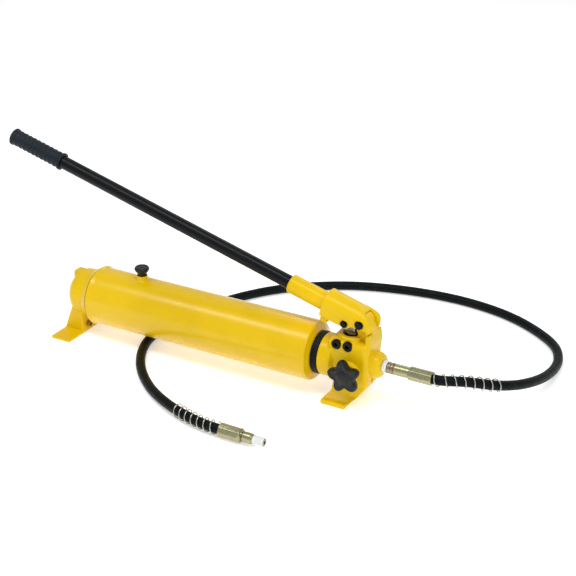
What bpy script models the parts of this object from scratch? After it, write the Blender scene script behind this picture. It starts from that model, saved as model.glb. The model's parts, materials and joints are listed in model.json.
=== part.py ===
"""Hydraulic hand pump: oil tank, cast pump head, lever, release valve and hose.

Frame: the origin is the centre of the front foot's underside. +X runs along the tank from its
rear cover to the pump head and its outlet, +Z is up and the release knob is on the -Y side.
Lengths are millimetres in the constants and in every function here, and metres in the meshes.
"""
import math

import bmesh
import bpy
from mathutils import Matrix, Vector

MM = 0.001

# Clearances between neighbouring pieces
GAP = 0.3
PIN_GAP = 0.15

# Tank and its rear cover
AXIS_Z = 59.5
TANK_R = 44.5
TANK_WALL = 3.0
TANK_FRONT_X = -45.4
TANK_REAR_X = -428.0
TANK_MOUTH_R = 27.3
COVER_R = 37.5
COVER_BACK_X = -481.0
FILLER_X = -350.0
FILLER_BOSS_R = 10.5

# Pump head
COLLAR_R = 31.6
COLLAR_X = -31.9
SPIGOT_R = 27.0
SPIGOT_X = -58.0
HEAD_HALF_WIDTH = 25.0
HEAD_FRONT_X = 45.5
HEAD_TOP_Z = 98.0
FRONT_FOOT = (19.3, 41.5, 7.0)
REAR_FOOT = (17.4, 66.0, 4.0)
REAR_FOOT_X = -464.0
LEG_FACE_X = -446.0
RECESS_X = -467.0

# Piston and its bore
PISTON_X = 10.5
PISTON_R = 11.0
BORE_R = 11.3
BOSS_R = 21.0
BOSS_TOP_Z = 104.0
GLAND_R = 13.6
PISTON_BOTTOM_Z = 72.0
PISTON_TOP_Z = 108.0
TANG_X = 8.0

# Outlet and valves
OUTLET_Z = 62.0
OUTLET_R = 6.3
OUTLET_FACE_X = 60.0
OUTLET_CHAMBER_X = 19.0
PLUG_Z = 91.8
PLUG_X = {"unloading": -3.5, "relief": 14.2}
RELEASE_X = 19.5
RELEASE_Z = 54.7
RELEASE_BORE_R = 6.3

# Lever: measured from its pivot, u along the pole towards the nose and n square to it
PIVOT = (29.5, 0.0, 127.8)
PISTON_PIN = (6.0, 0.0, 124.0)
LEVER_ANGLE = math.radians(15.7)
LEVER_HALF_WIDTH = 20.0
SLOT_HALF_WIDTH = 9.0
EAR_HALF_WIDTH = 8.5
EAR_R = 11.5
ROOF_N = 11.9
POLE_N = -4.0
POLE_R = 10.0
ARCH_R = 22.5
SOCKET_R = 14.0
NOSE_R = 19.8
NOSE_X = 39.0
SOCKET_END_U = -122.8
POLE_END_U = -627.0
GRIP_INNER_U = -535.4
GRIP_END_U = -630.0
PIVOT_PIN_R = 5.0
PISTON_PIN_R = 4.0

# Hose, its fittings and the two bend guards
HOSE_R = 7.25
FERRULE_R = 10.3
FERRULE_END_X = 136.0
FAR_AXIS_Y = -188.0
FAR_AXIS_Z = 10.6
FAR_HOSE_END_X = -95.5
GUARD_WIRE_R = 1.1
GUARD_GAP = 1.0
GUARD_TURNS = 8
GUARD_LENGTHS = (100.0, 86.0)
HOSE_STEPS = 78
HOSE_ROUTE = (
    (136.4, 0.0, 62.0), (144.0, 0.4, 62.0), (153.0, 4.0, 61.5), (162.5, 9.6, 60.8),
    (171.5, 16.0, 59.6), (182.3, 24.6, 57.2), (193.5, 34.4, 53.5), (204.1, 45.6, 49.0),
    (213.9, 59.0, 44.2), (222.8, 74.8, 39.2), (230.8, 93.6, 33.8), (237.5, 116.6, 28.0),
    (242.4, 143.7, 21.6), (244.4, 173.2, 15.6), (243.4, 203.0, 11.0), (239.2, 230.0, 8.4),
    (231.8, 252.0, 7.6), (221.5, 271.0, 7.5), (205.5, 289.0, 7.5), (184.5, 305.6, 7.5),
    (161.9, 319.9, 7.5), (134.0, 334.0, 7.5), (101.5, 345.4, 7.5), (63.7, 353.2, 7.5),
    (27.4, 356.4, 7.5), (-7.9, 355.6, 7.5), (-42.1, 351.8, 7.5), (-75.9, 345.2, 7.5),
    (-115.0, 334.5, 7.5), (-154.4, 318.6, 7.5), (-197.0, 293.5, 7.5), (-238.1, 261.5, 7.5),
    (-262.0, 235.8, 7.5), (-282.6, 207.3, 7.5), (-302.0, 173.0, 7.5), (-318.5, 136.0, 7.5),
    (-331.0, 97.0, 7.5), (-338.5, 58.0, 7.5), (-340.5, 22.0, 7.5), (-336.3, -11.7, 7.5),
    (-325.5, -42.5, 7.5), (-309.7, -70.5, 7.5), (-290.5, -95.6, 7.5), (-267.3, -118.4, 7.5),
    (-241.3, -139.0, 8.0), (-209.5, -158.0, 9.2), (-172.5, -174.5, 10.3), (-140.0, -183.6, 10.6),
    (-112.0, -187.6, 10.6), (-95.8, -188.0, 10.6),
)


# ---------------------------------------------------------------- scene and materials

def clear_scene():
    for item in list(bpy.data.objects):
        bpy.data.objects.remove(item, do_unlink=True)


def new_collection(name):
    collection = bpy.data.collections.new(name)
    bpy.context.scene.collection.children.link(collection)
    return collection


def make_material(name, colour, roughness, metallic=0.0):
    material = bpy.data.materials.new(name)
    material.use_nodes = True
    shader = material.node_tree.nodes["Principled BSDF"]
    shader.inputs["Base Color"].default_value = (*colour, 1.0)
    shader.inputs["Roughness"].default_value = roughness
    shader.inputs["Metallic"].default_value = metallic
    return material


def finish(item, mesh_material):
    """Put a part in the part collection, or a cutter (no material) in the cutter collection."""
    if mesh_material is None:
        CUTTERS.objects.link(item)
        item.hide_render = True
        item.display_type = "WIRE"
        return item
    PARTS.objects.link(item)
    item.data.materials.append(mesh_material.copy())
    item.data.materials[0].name = item.name + "_material"
    return item


def from_bmesh(name, shape, material):
    mesh = bpy.data.meshes.new(name)
    shape.to_mesh(mesh)
    shape.free()
    item = finish(bpy.data.objects.new(name, mesh), material)
    shade_round(item)
    return item


def shade_round(item):
    item.data.shade_smooth()
    item.data.set_sharp_from_angle(angle=math.radians(35))


# ---------------------------------------------------------------- shapes

def towards(axis):
    """Rotation that takes local +Z to the named direction."""
    turns = {
        "+Z": Matrix.Identity(4),
        "+X": Matrix.Rotation(math.pi / 2, 4, "Y"),
        "+Y": Matrix.Rotation(-math.pi / 2, 4, "X"),
        "-Y": Matrix.Rotation(math.pi / 2, 4, "X"),
    }
    return turns[axis]


def placed(axis, origin):
    return Matrix.Translation(Vector(origin) * MM) @ towards(axis)


def lever_place():
    """The lever's own frame: origin on the pivot, +X along the pole towards the nose."""
    return Matrix.Translation(Vector(PIVOT) * MM) @ Matrix.Rotation(LEVER_ANGLE, 4, "Y")


def along_pole():
    """Lever frame with local +Z along the pole's axis."""
    return lever_place() @ Matrix.Translation((0, 0, POLE_N * MM)) @ towards("+X")


def lever_point(u, n):
    """World x and z of a point given in the lever's frame."""
    spot = lever_place() @ Vector((u * MM, 0, n * MM))
    return spot.x / MM, spot.z / MM


def box(name, low, high, material=None, place=None):
    shape = bmesh.new()
    size = [(b - a) * MM for a, b in zip(low, high)]
    centre = [(a + b) / 2 * MM for a, b in zip(low, high)]
    matrix = Matrix.Translation(centre) @ Matrix.Diagonal((*size, 1.0))
    bmesh.ops.create_cube(shape, size=1.0, matrix=matrix)
    item = from_bmesh(name, shape, material)
    if place is not None:
        item.matrix_world = place
    return item


def rod(name, radius, start, end, place, material=None, sides=24, end_radius=None):
    """Cylinder or cone along local Z of `place`, from `start` to `end`."""
    shape = bmesh.new()
    far = radius if end_radius is None else end_radius
    bmesh.ops.create_cone(shape, cap_ends=True, segments=sides, radius1=radius * MM,
                          radius2=far * MM, depth=(end - start) * MM,
                          matrix=Matrix.Translation((0, 0, (start + end) / 2 * MM)))
    item = from_bmesh(name, shape, material)
    item.matrix_world = place
    return item


def ball(name, radius, centre, material):
    shape = bmesh.new()
    bmesh.ops.create_uvsphere(shape, u_segments=12, v_segments=8, radius=radius * MM)
    item = from_bmesh(name, shape, material)
    item.matrix_world = Matrix.Translation(Vector(centre) * MM)
    return item


def turned(name, profile, place, material=None, steps=32, ring=False):
    """Screw a profile of (radius, height) points into a solid, or into a ring when closed."""
    shape = bmesh.new()
    if runs_upwards(profile):
        profile = profile[::-1]
    spots = [shape.verts.new((radius * MM, 0, height * MM)) for radius, height in profile]
    pairs = list(zip(spots, spots[1:]))
    if ring:
        pairs.append((spots[-1], spots[0]))
    for first, second in pairs:
        shape.edges.new((first, second))
    mesh = bpy.data.meshes.new(name)
    shape.to_mesh(mesh)
    shape.free()
    item = finish(bpy.data.objects.new(name, mesh), material)
    screw = item.modifiers.new("turn", "SCREW")
    screw.steps = steps
    screw.render_steps = steps
    screw.use_merge_vertices = True
    screw.merge_threshold = 0.00001
    screw.use_smooth_shade = True
    item.matrix_world = place
    return item


def runs_upwards(profile):
    """True when the profile's outer side runs upwards, which would turn the faces inwards."""
    area = 0.0
    for (r1, h1), (r2, h2) in zip(profile, profile[1:] + profile[:1]):
        area += r1 * h2 - r2 * h1
    return area > 0


def turned_along(name, outline, place, material=None, steps=32, ring=False):
    """Turned piece whose profile is given as (station along the axis, radius)."""
    profile = [(radius, station) for station, radius in outline]
    return turned(name, profile, place, material, steps, ring)


def sleeve(name, outer, inner, start, end, place, material=None, steps=32):
    profile = [(outer, end), (outer, start), (inner, start), (inner, end)]
    return turned(name, profile, place, material, steps, ring=True)


def prism(name, outline, low, high, place, material=None, chamfer=0.0):
    """Flat outline in local XY, thick from `low` to `high` along local Z."""
    curve = bpy.data.curves.new(name, "CURVE")
    curve.dimensions = "2D"
    curve.fill_mode = "BOTH"
    curve.extrude = ((high - low) / 2 - chamfer) * MM
    curve.bevel_depth = chamfer * MM
    curve.bevel_resolution = 0
    curve.offset = -chamfer * MM
    curve.render_resolution_u = 0
    spline = curve.splines.new("POLY")
    spline.points.add(len(outline) - 1)
    for point, (x, y) in zip(spline.points, outline):
        point.co = (x * MM, y * MM, 0, 1)
    spline.use_cyclic_u = True
    shift = Matrix.Translation((0, 0, (low + high) / 2 * MM))
    return curve_to_mesh(name, curve, place @ shift, material)


def curve_to_mesh(name, curve, place, material):
    """Evaluate a curve, weld its caps and keep it as a mesh object."""
    holder = bpy.data.objects.new(name + "_curve", curve)
    CUTTERS.objects.link(holder)
    holder.matrix_world = place
    view = bpy.context.evaluated_depsgraph_get()
    mesh = bpy.data.meshes.new_from_object(holder.evaluated_get(view))
    bpy.data.objects.remove(holder, do_unlink=True)
    shape = bmesh.new()
    shape.from_mesh(mesh)
    bmesh.ops.remove_doubles(shape, verts=shape.verts, dist=0.000002)
    bmesh.ops.recalc_face_normals(shape, faces=shape.faces)
    bpy.data.meshes.remove(mesh)
    item = from_bmesh(name, shape, material)
    item.matrix_world = place
    return item


def tube(name, points, radius, detail, material):
    """Round tube along a list of points, with filled ends."""
    curve = bpy.data.curves.new(name, "CURVE")
    curve.dimensions = "3D"
    curve.bevel_depth = radius * MM
    curve.bevel_resolution = detail
    curve.use_fill_caps = True
    curve.render_resolution_u = 0
    spline = curve.splines.new("POLY")
    spline.points.add(len(points) - 1)
    for point, spot in zip(spline.points, points):
        point.co = (*(Vector(spot) * MM), 1)
    return curve_to_mesh(name, curve, Matrix.Identity(4), material)


def arc(centre, radius, first, last, count):
    """Points of an arc between two angles in degrees."""
    points = []
    for index in range(count + 1):
        angle = math.radians(first + (last - first) * index / count)
        points.append((centre[0] + radius * math.cos(angle), centre[1] + radius * math.sin(angle)))
    return points


def combine(target, tools, operation):
    for tool in tools:
        modifier = target.modifiers.new(operation.lower(), "BOOLEAN")
        modifier.operation = operation
        modifier.object = tool
        modifier.solver = "EXACT"


def join(target, *tools):
    combine(target, tools, "UNION")


def cut(target, *tools):
    combine(target, tools, "DIFFERENCE")


def round_edges(item, width, segments=2, angle=35):
    bevel = item.modifiers.new("round", "BEVEL")
    bevel.width = width * MM
    bevel.segments = segments
    bevel.limit_method = "ANGLE"
    bevel.angle_limit = math.radians(angle)


def sideways():
    """Place for a prism drawn in world X and Z, thick along Y."""
    return Matrix.Rotation(math.pi / 2, 4, "X")


def lever_sideways():
    """Place for a prism drawn in the lever's u and n, thick across the lever."""
    return lever_place() @ Matrix.Rotation(math.pi / 2, 4, "X")


# ---------------------------------------------------------------- tank

def build_tank():
    inner = TANK_R - TANK_WALL
    front = TANK_FRONT_X
    rear = TANK_REAR_X
    outline = [(front, TANK_R - 3.5), (front - 1.1, TANK_R - 1.1), (front - 3.5, TANK_R),
               (rear + 6, TANK_R), (rear + 2, TANK_R + 1.8), (rear, TANK_R + 1.2), (rear, inner),
               (front - 5, inner), (front - 5, TANK_MOUTH_R), (front, TANK_MOUTH_R)]
    tank = turned_along("tank_shell", outline, placed("+X", (0, 0, AXIS_Z)), TANK_YELLOW, 48,
                        ring=True)
    hole = rod("filler_hole_cutter", 8.3, 90, 110, placed("+Z", (FILLER_X, 0, 0)))
    cut(tank, hole)
    build_filler()


def build_filler():
    top = AXIS_Z + TANK_R
    place = placed("+Z", (FILLER_X, 0, 0))
    boss = turned("filler_boss", [(8.0, top + 7.0), (FILLER_BOSS_R - 0.6, top + 6.5),
                                  (FILLER_BOSS_R + 1.2, top + GAP), (8.0, top + GAP),
                                  (8.0, top - 5.5), (5.8, top - 5.5), (5.8, top + 7.0)],
                  place, YELLOW, 24, ring=True)
    saddle = rod("filler_saddle_cutter", TANK_R + GAP, -20, 20,
                 placed("+X", (FILLER_X, 0, AXIS_Z)), sides=48)
    skirt = sleeve("filler_skirt_cutter", 14.0, 8.05, top - 6, top + 0.6, place)
    cut(boss, skirt)
    join_skirt = sleeve("filler_skirt", FILLER_BOSS_R + 1.2, 7.9, top - 2, top + 0.8, place)
    cut(join_skirt, saddle)
    join(boss, join_skirt)
    cap_foot = top + 8.4
    turned("filler_cap", [(0, cap_foot + 12.9), (8.5, cap_foot + 12.3), (11.2, cap_foot + 10.5),
                          (11.5, cap_foot + 8.7), (9.8, cap_foot + 5.4), (7.2, cap_foot + 2.6),
                          (7.0, cap_foot + 1.2), (7.2, cap_foot), (5.4, cap_foot),
                          (5.4, cap_foot - 6.4), (4.2, cap_foot - 7.4), (0, cap_foot - 7.4)],
           place, BLACK_PLASTIC, 20)
    sleeve("filler_cap_seal", 7.4, 5.75, top + 7.3, cap_foot - GAP, place, RUBBER, 24)


def build_rear_cover():
    flange = TANK_REAR_X - 1.6
    spigot = TANK_R - TANK_WALL - GAP
    place = placed("+X", (0, 0, AXIS_Z))
    outline = [(TANK_REAR_X + 8, 0), (TANK_REAR_X + 8, spigot - 0.8), (TANK_REAR_X + 7, spigot),
               (flange, spigot), (flange, TANK_R + 0.8), (flange - 1.2, TANK_R - 0.4),
               (-441, COVER_R), (-459, COVER_R - 1.3), (-464.5, COVER_R - 3.2),
               (-469, COVER_R - 7.5), (-474, COVER_R - 13.5), (-478.5, COVER_R - 20),
               (COVER_BACK_X, COVER_R - 23), (COVER_BACK_X, 0)]
    cover = turned_along("rear_cover", outline, place, YELLOW, 40)
    half_x, half_y, thick = REAR_FOOT
    plate = box("rear_foot_plate_cutter", (REAR_FOOT_X - half_x, -half_y, 0),
                (REAR_FOOT_X + half_x, half_y, thick))
    leg = prism("rear_leg_cutter", [(-480.6, thick - 1), (LEG_FACE_X, thick - 1),
                                    (LEG_FACE_X, 46), (-464, 46)], -31, 31, sideways())
    ridge = box("rear_ridge_cutter", (-475, -9, 78), (-446, 9, 95.0))
    round_edges(ridge, 3.0, 2)
    join(cover, plate, leg, ridge)
    bolt_place = placed("+X", (0, -16.5, 12.6))
    cut(cover,
        rod("tie_rod_hole_cutter", 6.4, COVER_BACK_X - 5, TANK_REAR_X + 12, place, sides=20),
        rod("tie_rod_recess_cutter", 12.4, COVER_BACK_X - 5, RECESS_X, place, sides=28),
        rod("foot_screw_hole_cutter", 3.3, LEG_FACE_X - 14, LEG_FACE_X + 2, bolt_place, sides=16))
    head = LEG_FACE_X + 0.4
    screw = turned_along("foot_screw", [(LEG_FACE_X - 13, 0), (LEG_FACE_X - 13, 3.0), (head, 3.0),
                                        (head, 5.0), (head + 4, 5.0), (head + 4.6, 4.4),
                                        (head + 4.6, 0)], bolt_place, YELLOW, 20)
    cut(screw, rod("foot_screw_socket_cutter", 2.9, head + 1.6, head + 6, bolt_place, sides=6))
    sleeve("rear_cover_gasket", TANK_R + 0.4, spigot + GAP, flange + GAP, TANK_REAR_X - GAP,
           place, RUBBER, 40)


def build_tie_rod():
    place = placed("+X", (0, 0, AXIS_Z))
    rod("tie_rod", 6.0, COVER_BACK_X + 1, SPIGOT_X + 16, place, STEEL, 20)
    sleeve("tie_rod_washer", 11.0, 6.3, RECESS_X - 2.5, RECESS_X - GAP, place, STEEL, 24)
    nut = rod("tie_rod_nut", 10.4, RECESS_X - 11, RECESS_X - 2.8, place, STEEL, 6)
    cut(nut, rod("tie_rod_nut_cutter", 6.3, RECESS_X - 14, RECESS_X, place, sides=20))
    lower = placed("+X", (0, 0, 40.0))
    sleeve("suction_tube", 4.0, 2.8, -150, SPIGOT_X + 14, lower, STEEL, 16)
    turned_along("suction_strainer", [(-186, 0), (-186, 7), (-184, 8.2), (-154, 8.2), (-152, 6),
                                      (-143, 6), (-143, 4.3), (-151, 4.3), (-151, 0)],
                 lower, STEEL, 20)


# ---------------------------------------------------------------- pump head

def build_head():
    head = box("head_casting", (-18, -HEAD_HALF_WIDTH, 31), (HEAD_FRONT_X, HEAD_HALF_WIDTH,
               HEAD_TOP_Z), YELLOW)
    round_edges(head, 6.0, 2)
    collar = turned_along("collar_cutter",
                          [(SPIGOT_X, 0), (SPIGOT_X, SPIGOT_R), (COLLAR_X, SPIGOT_R),
                           (COLLAR_X, COLLAR_R - 0.8), (COLLAR_X + 0.8, COLLAR_R),
                           (-12, COLLAR_R), (-8, COLLAR_R - 5), (-8, 0)],
                          placed("+X", (0, 0, AXIS_Z)), None, 48)
    boss = turned("piston_boss_cutter", [(0, BOSS_TOP_Z), (BOSS_R - 1.2, BOSS_TOP_Z),
                                         (BOSS_R, BOSS_TOP_Z - 1.2), (BOSS_R, 88), (0, 88)],
                  placed("+Z", (PISTON_X, 0, 0)), None, 40)
    outlet = turned_along("outlet_boss_cutter",
                          [(40, 0), (40, 20.4), (50, 19.8), (55.5, 18.4), (58.8, 16.2),
                           (OUTLET_FACE_X, 13.4), (OUTLET_FACE_X, 0)],
                          placed("+X", (0, 0, OUTLET_Z)), None, 32)
    valve_boss = rod("release_boss_cutter", 16.0, 20, 31, placed("-Y", (RELEASE_X, 0, RELEASE_Z)),
                     sides=32, end_radius=13.0)
    join(head, collar, boss, outlet, valve_boss, tower_solid(), wall_solid(), front_foot_plate(),
         front_pedestal())
    cut(head, *head_bores())


def tower_solid():
    """Central ear that carries the pivot pin, with the flat that the lever's roof rests on."""
    centre = (PIVOT[0], PIVOT[2])
    flat = [lever_point(-8.0, EAR_R), lever_point(0.0, EAR_R)]
    back = arc(centre, EAR_R, 214, 172, 4)
    front = arc(centre, EAR_R, 90 - math.degrees(LEVER_ANGLE) - 8, 0, 8)
    outline = [(22.0, 90), *back, *flat, *front, (44.2, 119.5), (45.8, 114), (46.3, 90)]
    return prism("tower_cutter", outline, -EAR_HALF_WIDTH, EAR_HALF_WIDTH, sideways())


def wall_solid():
    """Front shoulder whose hollow top leaves room for the lever's nose to swing."""
    top = arc((PIVOT[0], PIVOT[2]), NOSE_R + 0.8, -61, -44, 5)
    outline = [(NOSE_X + 0.6, 80), *top, (46.0, 111), (47.0, 104), (47.8, 97), (46.8, 88),
               (46.0, 80)]
    return prism("wall_cutter", outline, -LEVER_HALF_WIDTH, LEVER_HALF_WIDTH, sideways())


def front_foot_plate():
    half_x, half_y, thick = FRONT_FOOT
    plate = box("front_foot_cutter", (-half_x, -half_y, 0), (half_x, half_y, thick))
    round_edges(plate, 1.2, 2)
    return plate


def front_pedestal():
    """Loft from the foot plate up to the head's lower body."""
    half_x, half_y, thick = FRONT_FOOT
    low = [(-half_x + 0.4, -half_y + 6), (half_x + 2.2, -half_y + 6), (half_x + 2.2, half_y - 6),
           (-half_x + 0.4, half_y - 6)]
    middle = [(-11, -24), (32, -24), (32, 24), (-11, 24)]
    high = [(-8, -22), (45.6, -22), (45.6, 22), (-8, 22)]
    shape = bmesh.new()
    rings = []
    for corners, height in ((low, thick - 2), (middle, 15), (high, 35)):
        rings.append([shape.verts.new((x * MM, y * MM, height * MM)) for x, y in corners])
    for lower, upper in zip(rings, rings[1:]):
        for index in range(4):
            after = (index + 1) % 4
            shape.faces.new((lower[index], lower[after], upper[after], upper[index]))
    shape.faces.new(list(reversed(rings[0])))
    shape.faces.new(rings[-1])
    return from_bmesh("pedestal_cutter", shape, None)


def head_bores():
    """Every bore of the head: piston, check valves, release valve, plugs, pins, tank side."""
    up = placed("+Z", (PISTON_X, 0, 0))
    tank_axis = placed("+X", (0, 0, AXIS_Z))
    suction = placed("+X", (0, 0, 40.0))
    outlet = placed("+X", (0, 0, OUTLET_Z))
    release = placed("-Y", (RELEASE_X, 0, RELEASE_Z))
    bores = [
        rod("bore_piston", BORE_R, 70, 126, up, sides=32),
        rod("bore_gland", GLAND_R + GAP, 98, 110, up, sides=32),
        rod("bore_inlet_chamber", 5.2, 50, 71, up, sides=20),
        rod("bore_inlet_seat", 2.6, 40, 51, up, sides=16),
        rod("bore_suction", 4.3, SPIGOT_X - 2, SPIGOT_X + 20, suction, sides=16),
        rod("bore_suction_passage", 2.4, SPIGOT_X + 19, PISTON_X + 1, suction, sides=16),
        rod("bore_tie_rod", 6.3, SPIGOT_X - 2, SPIGOT_X + 18, tank_axis, sides=22),
        rod("bore_outlet", OUTLET_R, OUTLET_CHAMBER_X, 70, outlet, sides=26),
        rod("bore_outlet_seat", 2.4, PISTON_X, OUTLET_CHAMBER_X + 1, outlet, sides=16),
        rod("bore_release", RELEASE_BORE_R, 13, 40, release, sides=24),
        rod("bore_release_seat", 1.8, 0, 14, release, sides=12),
        rod("bore_pivot", PIVOT_PIN_R + PIN_GAP, -30, 30, placed("+Y", PIVOT), sides=24),
        box("front_slot", (36, -7.2, 33.2), (60, -3.4, 41)),
    ]
    for name, x in PLUG_X.items():
        side = placed("-Y", (x, 0, PLUG_Z))
        bores.append(rod("bore_%s_plug" % name, 7.3, 20, 30, side, sides=24))
        bores.append(rod("bore_%s_chamber" % name, 3.6, 13.4, 21, side, sides=16))
    return bores


def build_tank_seal():
    outline = [(TANK_FRONT_X + GAP, 31.0), (TANK_FRONT_X + 1.2, 31.5), (COLLAR_X - 1.0, 31.5),
               (COLLAR_X - GAP, 31.0), (COLLAR_X - GAP, SPIGOT_R + GAP),
               (TANK_FRONT_X + GAP, SPIGOT_R + GAP)]
    turned_along("tank_seal_ring", outline, placed("+X", (0, 0, AXIS_Z)), RUBBER, 40, ring=True)


def build_valve_plugs():
    for name, x in PLUG_X.items():
        side = placed("-Y", (x, 0, PLUG_Z))
        plug = turned(name + "_plug", [(0, 26.0), (6.2, 26.0), (7.0, 25.2), (7.0, 20.3), (0, 20.3)],
                      side, BLACK_STEEL, 24)
        cut(plug, rod(name + "_plug_socket", 3.2, 22.6, 28, side, sides=6))
        coil(name + "_spring", 2.8, 0.35, 17.2, 20.0, 2, side, STEEL, 12)
        ball(name + "_ball", 2.0, (x, -15.7, PLUG_Z), BALL_STEEL)


def coil(name, radius, wire, start, end, turns, place, material, per_turn=8):
    """Compression spring along local Z of `place`."""
    count = turns * per_turn
    points = []
    for index in range(count + 1):
        angle = 2 * math.pi * index / per_turn
        height = start + wire + (end - start - 2 * wire) * index / count
        spot = place @ Vector((radius * math.cos(angle) * MM, radius * math.sin(angle) * MM,
                               height * MM))
        points.append(spot / MM)
    return tube(name, points, wire, 0, material)


def build_check_valves():
    ball("inlet_ball", 4.0, (PISTON_X, 0, 50 + 3.04 + GAP), BALL_STEEL)
    coil("inlet_spring", 3.9, 0.5, 58.2, 70.0, 5, placed("+Z", (PISTON_X, 0, 0)), STEEL)
    ball("outlet_ball", 4.0, (OUTLET_CHAMBER_X + 3.2 + GAP, 0, OUTLET_Z), BALL_STEEL)
    coil("outlet_spring", 4.2, 0.6, OUTLET_CHAMBER_X + 8.2, 42.0, 5, placed("+X", (0, 0, OUTLET_Z)), STEEL)


def build_piston():
    up = placed("+Z", (PISTON_X, 0, 0))
    top = PISTON_TOP_Z
    bottom = PISTON_BOTTOM_Z
    piston = turned("piston", [(0, top), (PISTON_R - 1, top), (PISTON_R, top - 1),
                               (PISTON_R, bottom + 1), (PISTON_R - 1, bottom), (0, bottom)],
                    up, CHROME, 32)
    pin_z = PISTON_PIN[2]
    tang = box("tang_cutter", (TANG_X - 9, -7, top - 3), (TANG_X + 9, 7, pin_z + 8.8))
    round_edges(tang, 2.0, 2)
    join(piston, tang)
    slot_x = TANG_X - 0.6
    outline = (arc((slot_x + 1.7, pin_z), 4.7, -90, 90, 8) + arc((slot_x - 1.7, pin_z), 4.7, 90, 270, 8))
    cut(piston, prism("tang_slot_cutter", outline, -12, 12, sideways()))
    sleeve("gland_nut", GLAND_R, BORE_R, 101.2, BOSS_TOP_Z - 0.4, up, BLACK_STEEL, 32)
    sleeve("piston_seal", GLAND_R, BORE_R, 98.3, 100.9, up, RUBBER, 32)


def build_release_valve():
    place = placed("-Y", (RELEASE_X, 0, RELEASE_Z))
    ball("release_ball", 3.0, (RELEASE_X, -15.7, RELEASE_Z), BALL_STEEL)
    turned("release_spindle", [(0, 47), (3.6, 47), (4, 46.6), (4, 27.4), (6.0, 27.0), (6.0, 19.6),
                               (5.4, 19.0), (0, 19.0)], place, STEEL, 24)
    sleeve("release_seal", 6.0, 4.3, 28.6, 31.0, place, RUBBER, 24)
    knob = prism("release_knob", knob_outline(), 37.0, 49.5, place, BLACK_PLASTIC, 1.5)
    hub = rod("knob_hub_cutter", 9.5, 33.5, 40, place, sides=24)
    hollow = rod("knob_bore_cutter", 4.3, 30, 47.3, place, sides=24)
    join(knob, hub)
    cut(knob, hollow)


def knob_outline():
    """Five round lobes with hollows between them."""
    points = []
    for index in range(50):
        angle = 2 * math.pi * index / 50
        wave = math.cos(5 * (angle - math.radians(101)))
        radius = 21.1 + 4.4 * wave - 0.4 * wave * wave
        points.append((radius * math.cos(angle), radius * math.sin(angle)))
    return points


# ---------------------------------------------------------------- lever

def build_lever():
    lever = prism("lever_casting", arch_outline(), -63.0, 24.0,
                  lever_place() @ towards("+X"), YELLOW)
    combine(lever, [prism("lever_side_cutter", side_outline(), -30, 30, lever_sideways())],
            "INTERSECT")
    round_front = prism("lever_plan_cutter", plan_outline(), -40, 40, lever_place())
    combine(lever, [round_front], "INTERSECT")
    pole = along_pole()
    socket = turned("socket_cutter", [(0, -60), (SOCKET_R, -60), (SOCKET_R, SOCKET_END_U + 1),
                                      (SOCKET_R - 1, SOCKET_END_U), (0, SOCKET_END_U)], pole, None, 32)
    lug = box("lug_cutter", (-60, -17, -26.5), (-48.5, 17, -12), None, lever_place())
    round_edges(lug, 1.5, 2)
    half = SLOT_HALF_WIDTH
    across = lever_place() @ towards("+Y")
    pin = lever_place().inverted() @ (Vector(PISTON_PIN) * MM)
    pin_place = lever_place() @ Matrix.Translation(pin) @ towards("+Y")
    join(lever, socket)
    cut(lever, box("fork_low_cutter", (-40, -half, -40), (40, half, 1.5), None, lever_place()),
        box("fork_high_cutter", (-40, -half, 1.0), (0, half, ROOF_N), None, lever_place()),
        box("nose_slot_cutter", (-0.5, -half, 0.5), (40, half, 40), None, lever_place()),
        rod("fork_round_cutter", EAR_R + 1.0, -half, half, across, sides=40))
    join(lever, lug)
    cut(lever,
        rod("pole_bore_cutter", POLE_R + GAP, SOCKET_END_U - 5, -46, pole, sides=32),
        rod("lever_pivot_cutter", PIVOT_PIN_R + PIN_GAP, -30, 30, across),
        rod("lever_pin_cutter", PISTON_PIN_R + PIN_GAP, -30, 30, pin_place),
        rod("set_screw_hole_cutter", 2.8, -25, 0, set_screw_place(), sides=16))
    return lever


def arch_outline():
    """Cross-section of the fork, drawn in local X (down) and Y (across)."""
    half = LEVER_HALF_WIDTH
    spread = math.degrees(math.acos(half / ARCH_R))
    arch = arc((0, 0), ARCH_R, 180 - spread, spread, 20)
    points = [(-(n + POLE_N), y) for y, n in arch]
    return [(30, -half), *points, (30, half)]


def side_outline():
    """Side view of the block, its cheeks and its round nose, in the lever's u and n."""
    pin = lever_place().inverted() @ (Vector(PISTON_PIN) * MM)
    pin_centre = (pin.x / MM, pin.z / MM)
    drop = math.degrees(math.acos((NOSE_X - PIVOT[0]) / NOSE_R)) - math.degrees(LEVER_ANGLE)
    nose = arc((0, 0), NOSE_R, -drop, -24, 5)
    return [(-62, 25), (-62, -17), (-32, -17), *arc(pin_centre, 7.6, -125, -35, 6),
            (-9.5, -9.5), (2.0, -7.3), (11.5, -5.9), *nose, (19.0, -3.6), (18.7, 0.4), (16.7, 3.9),
            (12.6, 7.4), (6.3, 11.5), (0.0, 14.3), (-7.0, 16.6), (-14.0, 18.1), (-24.0, 19.0),
            (-24.0, 25)]


def plan_outline():
    """Plan view of the block: straight sides and a round front, in the lever's u and Y."""
    front = []
    for index in range(13):
        angle = math.radians(-72 + 12 * index)
        front.append((2.6 + 20.3 * math.cos(angle), 21.5 * math.sin(angle)))
    return [(-70, -26), (2, -26), *front, (2, 26), (-70, 26)]


def set_screw_place():
    return lever_place() @ Matrix.Translation((-104 * MM, 0, POLE_N * MM))


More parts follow.
